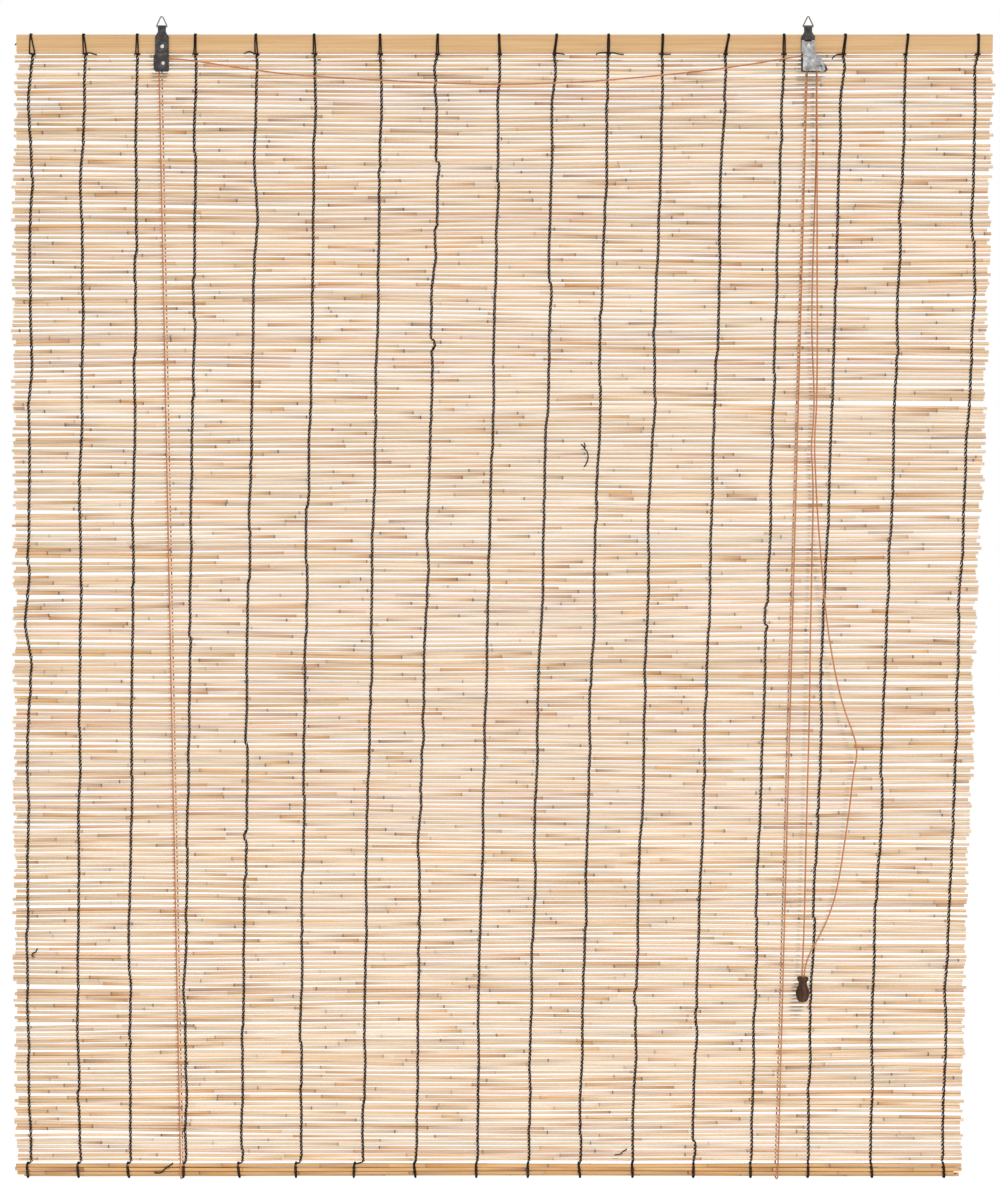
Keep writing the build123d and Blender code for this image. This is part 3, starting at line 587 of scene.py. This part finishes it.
for k, row in enumerate(COURSE):
    u = np.arange(-2, (N_REEDS - 1) * PER + 3)      # -2 is the first half gap above reed 0
    phase = u / PER
    # the thread steps sideways a little from reed to reed, and slips further now and then
    wander, jitter = 0.0, []
    loose = 1.7 if k == 7 else 1.0
    for i in range(N_REEDS):
        if rng.random() < 0.055:
            wander = -wander * 0.5 + rng.uniform(-1.5, 1.5) * loose
        wander = wander * 0.93 + rng.uniform(-0.38, 0.38) * loose
        jitter.append(wander)
    jitter = np.array(jitter)
    jitter[0] = jitter[-1] = 0
    foot = (LASH[k][1] + LASH[k][2]) / 2
    xk = np.interp(-zs_nominal, [47.0] + [-z for z in COURSE_Z], [foot] + row) + jitter
    zk = np.array([np.interp(xk[i], GRID, ROWS[i]) for i in range(N_REEDS)])
    centre_x = np.interp(phase, np.arange(N_REEDS), xk)
    centre_z = np.interp(phase, np.arange(N_REEDS), zk)
    centre_z[phase < 0] = zk[0] - (phase[phase < 0]) * 5.0
    centre_z[phase > N_REEDS - 1] = zk[-1] - (phase[phase > N_REEDS - 1] - (N_REEDS - 1)) * 5.4
    rad = np.interp(phase, np.arange(N_REEDS), RADII)
    zone_at = np.array([zone_of(z) for z in centre_z])
    warp_top.append((centre_x[0], centre_z[0]))
    warp_bottom.append((centre_x[-1], centre_z[-1]))
    for s in (1, -1):
        swing = np.cos(math.pi * phase)
        p = np.stack([centre_x + s * 1.12 * np.sin(math.pi * phase),
                      s * (rad + STRAND_R * PRESS * 0.92) * np.sign(swing) * np.abs(swing) ** 0.62,
                      centre_z], axis=-1)
        thick = 0.72 + (STRAND_R - 0.72) * np.abs(swing)
        for zone in range(32):
            idx = np.nonzero(zone_at == zone)[0]
            if not len(idx):
                continue
            a, c = max(idx[0] - 1, 0) if zone else idx[0], idx[-1]
            builds[zone].tube(p[a:c + 1], thick[a:c + 1], 5, flat=PRESS)

# loose ends and specks that hang in the mat: points in millimetres
LOOSE = [
    [(119.8, -3.6, -524.2), (122.3, -4.2, -527.0), (124.3, -3.8, -530.0), (127.6, -3.9, -535.0), (128.4, -4.3, -541.0), (127.0, -3.8, -547.0), (123.4, -3.6, -552.8)],
    [(123.3, -4.6, -522.6), (124.6, -4.9, -526.0), (124.3, -4.2, -530.0)],
    [(-566.3, -2.9, -1161.0), (-568.4, -3.1, -1165.0), (-571.8, -3.2, -1166.8), (-573.4, -3.1, -1170.2), (-570.2, -2.9, -1172.4)],
    [(180.4, -3.6, -1419.5), (176.2, -4.6, -1421.6), (171.4, -4.4, -1425.8), (164.4, -4.2, -1427.2)],
    [(-205.8, -3.5, -52.6), (-203.6, -4.6, -52.9), (-201.5, -4.4, -52.3)],
]
for pts in LOOSE:
    line = smooth(pts, 5)
    zone = zone_of(line[:, 2].mean())
    builds[zone].tube(line, 0.78, 6)
for k, b in enumerate(builds):
    ob = hang(b.done(f"mat_threads_{k:02d}", MAT_THREAD, "thread"), k)
    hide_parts("warp_threads")

# ------------------------------------------------------------------ thread lashings round the slat
b = Build()
rng = random.Random(3)
for k, (top, left, right) in enumerate(LASH):
    wx, wz = warp_top[k]
    mid_low, shut = (left + right) / 2, (1.0 if k == 0 else 0.85 if k == 1 else 0.55)
    for s, low in ((-1, mid_low + (left - mid_low) * shut), (1, mid_low + (right - mid_low) * shut)):
        t = top + s * 0.78
        y = 5.22 + rng.uniform(0, 0.15)
        back = wx + s * rng.uniform(1.2, 2.4)
        pts = [(low, -y - 0.35, -45.9), (low * 0.97 + t * 0.03, -y, -43.4), ((low + t) / 2 + rng.uniform(-0.3, 0.3), -y, -33.5),
               (t, -y + 0.05, -24.2), (t, -4.75, -21.75), (t + 0.1, -2.5, -21.25), (t, 2.5, -21.25), (t, 4.75, -21.75),
               ((back + t) / 2, 5.3, -30.0), (back, 5.25, -41.5), (back, 4.7, -44.7), (wx + s * 0.9, 2.6, -45.35),
               (wx + s * 0.62, 0.2, -45.5), (wx, -1.6, -45.6), (wx - s * 0.3, -2.6, wz - 0.2)]
        b.tube(smooth(pts, 6), 0.88, 6)
    # the tie at the foot of the lashing
    over = rng.uniform(0.5, 1.1)
    tie = [(left - over, -5.75, -46.1 + rng.uniform(-0.3, 0.3)), ((left * 2 + right) / 3, -6.5, -45.7), ((left + 2 * right) / 3, -6.4, -46.2),
           (right + over, -5.7, -46.0 + rng.uniform(-0.4, 0.3))]
    b.tube(smooth(tie, 6), 0.85, 6)
    link = [((left + right) / 2, -6.1, -46.1), ((left + right + wx) / 3, -4.6, -46.7), (wx, -2.9, -47.2)]
    b.tube(smooth(link, 6), 0.95, 6)
    knot = np.array([((left + right) / 2 + 0.95 * math.sin(t) + 0.3 * math.sin(3 * t), -6.0 + 0.5 * math.cos(2 * t), -46.2 + 0.75 * math.cos(t))
                     for t in np.linspace(0, 2 * math.pi, 19)])
    b.tube(knot, 0.62, 5, cap_a=False, cap_b=False)
for pts in [
    [(-489.3, -5.6, -45.2), (-485.7, -6.0, -44.6), (-480.5, -5.4, -46.0), (-476.3, -5.0, -46.9)],
    [(-283.8, -5.6, -45.2), (-287.0, -6.2, -43.6), (-291.0, -5.8, -43.4), (-295.9, -5.2, -45.9)],
    [(87.4, -6.2, -45.2), (91.0, -6.6, -45.6), (95.0, -6.3, -46.0), (98.3, -5.8, -46.6)],
    [(152.0, -6.2, -44.6), (145.7, -6.6, -44.5), (139.2, -6.2, -45.2), (136.6, -5.8, -47.2)],
    [(152.5, -6.2, -44.6), (158.0, -6.6, -44.8), (165.0, -6.2, -46.2), (170.9, -5.8, -46.6)],
    [(217.5, -6.2, -46.0), (222.8, -6.4, -46.4), (228.8, -5.8, -46.2)],
    [(217.5, -6.2, -46.0), (214.8, -6.2, -46.1), (213.6, -5.8, -46.0)],
    [(439.6, -5.8, -46.6), (436.0, -6.6, -46.4), (431.6, -6.2, -47.4), (428.0, -5.4, -50.0), (427.2, -5.0, -52.2)],
    [(606.4, -5.9, -46.4), (603.2, -5.4, -47.0), (601.8, -4.4, -47.8)],
    [(-579.0, 5.4, -33.4), (-577.6, 6.0, -31.6), (-574.0, 6.2, -31.0), (-571.0, 5.6, -32.4)],
]:
    b.tube(smooth(pts, 6), np.linspace(0.95, 0.7, len(smooth(pts, 6))), 6)
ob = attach(b.done("slat_lashings", MAT_THREAD, "thread"), "head")
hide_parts("slat_thread_loops")

# ------------------------------------------------------------------ lashings round the bundle
BOTTOM = [-580.3, -516.0, -452.2, -381.5, -311.4, -238.7, -166.1, -88.8, -10.5, 55.2, 120.8, 188.3, 266.1, 338.7, 412.0, 493.0, 584.8]
b = Build()
rng = random.Random(9)
for k, x in enumerate(BOTTOM):
    lean = rng.uniform(-1.6, 1.6)
    mid = x - (2.6 if k < 6 else 1.0)
    for off in (-0.72, 0.72):
        loop = []
        for t in np.linspace(0, 2 * math.pi, 33):
            c, s = math.cos(t), math.sin(t)
            yy = 4.95 * math.copysign(abs(c) ** 0.55, c)
            zz = -1447.6 + 9.6 * math.copysign(abs(s) ** 0.7, s)
            loop.append((mid + off + lean * s * 0.6 + 0.35 * math.sin(2 * t + off), yy, zz))
        b.tube(np.array(loop), 0.82, 6, cap_a=False, cap_b=False)
    wx, wz = warp_bottom[k]
    link = [(wx, -0.4, -1437.0), (wx * 0.6 + mid * 0.4, -2.8, -1437.6), (mid, -4.6, -1438.8)]
    b.tube(smooth(link, 5), 0.9, 6)
for pts in [
    [(-397.3, -5.4, -1436.9), (-401.8, -6.2, -1440.6), (-406.4, -6.2, -1443.4), (-410.5, -6.2, -1447.6), (-414.5, -6.0, -1449.9), (-421.2, -5.6, -1449.5)],
]:
    b.tube(smooth(pts, 6), 0.88, 6)
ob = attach(b.done("bundle_lashings", MAT_THREAD, "thread"), "bundle")
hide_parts("bundle_thread_loops")

# ------------------------------------------------------------------ cords
CORD_R = 0.95


def spline(name, pts, bevel):
    cu = bpy.data.curves.new(name, "CURVE")
    cu.dimensions = "3D"
    sp = cu.splines.new("NURBS")
    sp.points.add(len(pts) - 1)
    for q, p in zip(sp.points, pts):
        q.co = (p[0] * MM, p[1] * MM, p[2] * MM, 1)
    sp.order_u = 3
    sp.use_endpoint_u = True
    sp.resolution_u = 16
    cu.resolution_u = 16
    cu.bevel_depth = bevel * MM
    cu.bevel_resolution = 4
    cu.use_fill_caps = True
    ob = bpy.data.objects.new(name, cu)
    scene.collection.objects.link(ob)
    return ob


def line_of(pts):
    """The route's own smooth line, as points in millimetres."""
    ob = spline("route", pts, 0)
    bpy.context.view_layer.update()
    me = bpy.data.meshes.new_from_object(ob)
    p = np.array([v.co for v in me.vertices]) / MM
    bpy.data.objects.remove(ob)
    bpy.data.meshes.remove(me)
    return p


def even(p, step):
    d = np.concatenate([[0], np.cumsum(np.linalg.norm(np.diff(p, axis=0), axis=1))])
    n = max(3, int(d[-1] / step) + 1)
    s = np.linspace(0, d[-1], n)
    return np.stack([np.interp(s, d, p[:, q]) for q in range(3)], axis=-1)


def length(p):
    return float(np.linalg.norm(np.diff(p, axis=0), axis=1).sum())


def knot_mesh(name, at, size, r, body, node):
    b = Build()
    t = np.linspace(0, 2 * math.pi, 73)
    p = np.stack([np.sin(t) + 2 * np.sin(2 * t), np.cos(t) - 2 * np.cos(2 * t), -1.25 * np.sin(3 * t)], axis=-1) * size / 3
    b.tube(p + np.array(at), r, 8, cap_a=False, cap_b=False)
    b.tube(smooth([(at[0], at[1], at[2] - size * 0.7), (at[0] + 0.3, at[1], at[2]), (at[0], at[1], at[2] + size * 0.7)], 4), r, 8)
    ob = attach(b.done(name, MAT_CORD, "cord"), body)
    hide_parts(node)
    return ob


def lift_cord(side, pts, top):
    p = line_of(pts)
    d = np.concatenate([[0], np.cumsum(np.linalg.norm(np.diff(p, axis=0), axis=1))])
    s_at = []
    for k in range(7):                              # where the front run passes the middle of bands 1 to 7
        q = next(i for i in range(1, len(p)) if p[i - 1, 2] >= MID[k] > p[i, 2])
        f = (p[q - 1, 2] - MID[k]) / (p[q - 1, 2] - p[q, 2])
        s_at.append(d[q - 1] + f * (d[q] - d[q - 1]))
    marks = [0.0] + s_at + [d[-1]]

    def cut(a, c, step):
        inner = d[(d > a + 1e-6) & (d < c - 1e-6)]
        s = np.unique(np.concatenate([[a, c], inner, np.linspace(a, c, max(2, int((c - a) / step) + 1))]))
        s = s[np.concatenate([[True], np.diff(s) > 0.05])]
        return np.stack([np.interp(s, d, p[:, q]) for q in range(3)], axis=-1)

    for k in range(8):
        last = k == 7
        path = cut(marks[k], marks[k + 1], 3.0 if not last else 12.0)
        b = Build()
        b.tube(path, CORD_R, 10)
        name = f"{side}_lift_cord_{k}" if not last else f"{side}_lift_cord_lower"
        ob = b.done(name, MAT_CORD, "cord")
        if last:
            run = np.array(pts[-3]) - np.array(pts[top])
            run = run / np.linalg.norm(run)
            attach(ob, "head")
            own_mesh(ob)
        elif k == 0:
            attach(ob, "head")
        else:
            hang(ob, k)
        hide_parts(f"{side}_lift_cord")


left_knot = knot_mesh("left_cord_knot", (-398.4, 4.6, -50.4), 1.5, 0.72, "head", "cord_knots")
right_knot = knot_mesh("right_cord_knot", (396.6, 4.6, -50.4), 1.5, 0.72, "head", "cord_knots")


def along(a, b, dist):
    """The point on the run from a to b, dist millimetres from a."""
    a, b = np.array(a, float), np.array(b, float)
    return tuple(a + (b - a) / np.linalg.norm(b - a) * dist)


# The long straight runs get a point beside the pulley and beside the bundle, as the photograph shows them pulled tight.
L = [(-392.6, -7.7, -52.0), (-400.2, -7.7, -52.0), (-387.6, -5.6, -1458.7), (-386.0, 5.6, -1458.7), (-398.4, 4.4, -51.4)]
LEFT_LIFT = [L[0], L[1], along(L[1], L[2], 11.4), along(L[2], L[1], 11.4), L[2], L[3], along(L[3], L[4], 11.4), L[4]]
R = [(407.7, -7.7, -67.3), (407.7, -7.7, -49.4), (396.5, -7.7, -49.4), (372.2, -5.6, -1458.7), (369.8, 5.6, -1458.7), (396.6, 4.4, -51.4)]
RIGHT_LIFT = [R[0], along(R[1], R[0], 11.4), R[1], R[2], along(R[2], R[3], 11.4), along(R[3], R[2], 11.4), R[3], R[4], along(R[4], R[5], 11.4), R[5]]
lift_cord("left", LEFT_LIFT, 1)
lift_cord("right", RIGHT_LIFT, 3)

CROSS = [(-392.6, -7.7, -52.0), (-380.0, -7.7, -52.0), (-357.0, -7.9, -54.4), (-318.0, -8.1, -60.4), (-264.0, -8.3, -68.6),
         (-207.0, -8.5, -73.6), (-150.0, -8.8, -76.9), (-92.0, -9.0, -79.9), (-34.0, -9.3, -82.5), (24.0, -9.5, -83.3),
         (82.0, -9.8, -82.0), (138.0, -10.0, -79.3), (190.0, -10.2, -74.8), (240.0, -10.5, -70.2), (290.0, -10.7, -64.3),
         (338.0, -10.9, -57.3), (370.0, -11.1, -51.8), (387.0, -11.2, -49.6), (396.3, -11.2, -49.5), (407.7, -11.2, -49.4),
         (407.7, -11.2, -60.8), (407.7, -11.2, -67.3)]
PULL_A = [(407.7, -7.7, -67.3), (407.7, -7.7, -95.0), (408.5, -7.9, -150.0), (407.6, -8.1, -205.0), (406.2, -8.4, -262.0),
          (404.9, -8.7, -320.0), (404.5, -8.9, -378.0), (406.2, -9.2, -420.0), (408.6, -9.4, -462.0), (408.0, -9.5, -498.0),
          (405.0, -9.6, -527.0), (407.4, -9.7, -556.0), (408.6, -9.9, -600.0), (407.6, -10.2, -655.0), (407.1, -10.5, -712.0),
          (406.4, -10.8, -770.0), (406.3, -11.1, -828.0), (405.8, -11.4, -886.0), (404.7, -11.8, -944.0), (403.7, -12.1, -1002.0),
          (402.8, -12.5, -1060.0), (402.2, -12.9, -1115.0), (401.0, -13.3, -1160.0), (399.65, -13.6, -1188.0),
          (399.65, -13.6, -1215.0)]
PULL_B = [(407.7, -11.2, -67.3), (407.7, -11.2, -95.0), (408.7, -11.3, -150.0), (409.2, -11.4, -205.0), (409.9, -11.5, -262.0),
          (410.4, -11.6, -320.0), (411.3, -11.7, -376.0), (411.6, -11.8, -435.0), (411.3, -11.9, -482.0), (408.8, -12.0, -520.0),
          (410.6, -12.1, -560.0), (413.6, -12.2, -610.0), (418.4, -12.4, -664.0), (423.4, -12.6, -720.0), (430.5, -12.8, -772.0),
          (440.0, -13.0, -822.0), (450.0, -13.2, -858.0), (460.5, -13.4, -884.0), (467.2, -13.5, -909.0), (461.0, -13.6, -940.0),
          (458.2, -13.6, -974.0), (452.4, -13.6, -1018.0), (446.2, -13.6, -1064.0), (438.0, -13.6, -1104.0), (423.0, -13.6, -1140.0),
          (407.0, -13.6, -1168.0), (401.75, -13.6, -1192.0), (401.75, -13.6, -1215.0)]
pull_knot = knot_mesh("pull_cord_knot", (400.7, -13.6, -1216.9), 2.5, 0.95, "head", "pull_knot")
for name, node, pts, real, far, more in (
    ("cross_cord_line", "cross_cord", CROSS, 0.8193, "object", []),
    ("pull_cord_a_line", "pull_cord_a", PULL_A, 1.1481, "knot", [nodes["pull_knob"], pull_knot]),
    ("pull_cord_b_line", "pull_cord_b", PULL_B, 1.1632, "object", []),
):
    ob = spline(name, pts, CORD_R)
    ob.data.materials.append(MAT_CORD)
    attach(ob, "head")
    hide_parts(node)

# ------------------------------------------------------------------ floor, light and camera
floor = bpy.data.meshes.new("floor")
s = 9.0
floor.from_pydata([(-s, -s, -2.6), (s, -s, -2.6), (s, s, -2.6), (-s, s, -2.6)], [], [(0, 1, 2, 3)])
m, nt, bs = new_material("floor", (0.9, 0.9, 0.9), 0.7)
bs.inputs["Emission Color"].default_value = (1, 1, 1, 1)
bs.inputs["Emission Strength"].default_value = 0.30
fl = noise(nt, coords(nt, (3, 3, 3)), 1.0, 2, 0.5)
nt.links.new(ramp(nt, fl, grey((0.3, 0.90), (0.7, 0.93))), bs.inputs["Base Color"])
floor.materials.append(m)
floor_ob = bpy.data.objects.new("floor", floor)
scene.collection.objects.link(floor_ob)

world = bpy.data.worlds.new("studio")
scene.world = world
world.use_nodes = True
wt = world.node_tree
bg = wt.nodes["Background"]                        # the light that the room gives
bg.inputs["Color"].default_value = (1.0, 0.985, 0.97, 1)
bg.inputs["Strength"].default_value = 0.37
plain = wt.nodes.new("ShaderNodeBackground")       # the white wall behind, as it is seen directly
plain.inputs["Color"].default_value = (1, 1, 1, 1)
plain.inputs["Strength"].default_value = 1.0
seen = wt.nodes.new("ShaderNodeLightPath")
both = wt.nodes.new("ShaderNodeMixShader")
wt.links.new(seen.outputs["Is Camera Ray"], both.inputs[0])
wt.links.new(bg.outputs[0], both.inputs[1])
wt.links.new(plain.outputs[0], both.inputs[2])
wt.links.new(both.outputs[0], wt.nodes["World Output"].inputs["Surface"])


def sun(name, to_light, strength, spread, colour):
    li = bpy.data.lights.new(name, "SUN")
    li.energy = strength
    li.angle = math.radians(spread)
    li.color = colour
    ob = bpy.data.objects.new(name, li)
    d = -np.array(to_light, float)
    ob.rotation_euler = (math.atan2(math.hypot(d[0], d[1]), -d[2]), 0, math.atan2(d[1], d[0]) - math.pi / 2)
    ob.location = tuple(np.array(to_light, float) * 4)
    scene.collection.objects.link(ob)
    return ob


sun("key", (0.26, -0.58, 0.82), 1.90, 14, (1.0, 0.975, 0.95))
sun("fill", (-0.55, -0.80, 0.15), 0.30, 50, (1.0, 0.98, 0.96))

cam = bpy.data.cameras.new("camera")
cam.sensor_fit = "AUTO"
cam.sensor_width = 36
cam.lens = 2402.57 / 1200 * 36
cam.clip_end = 50
cam_ob = bpy.data.objects.new("camera", cam)
cam_ob.location = (0.018779, -3.0, -0.4936)
cam_ob.rotation_euler = (math.radians(90 - 4.3), 0, 0)
scene.collection.objects.link(cam_ob)
scene.camera = cam_ob
scene.view_settings.view_transform = "Standard"
scene.view_settings.look = "None"
scene.view_settings.exposure = 0.0
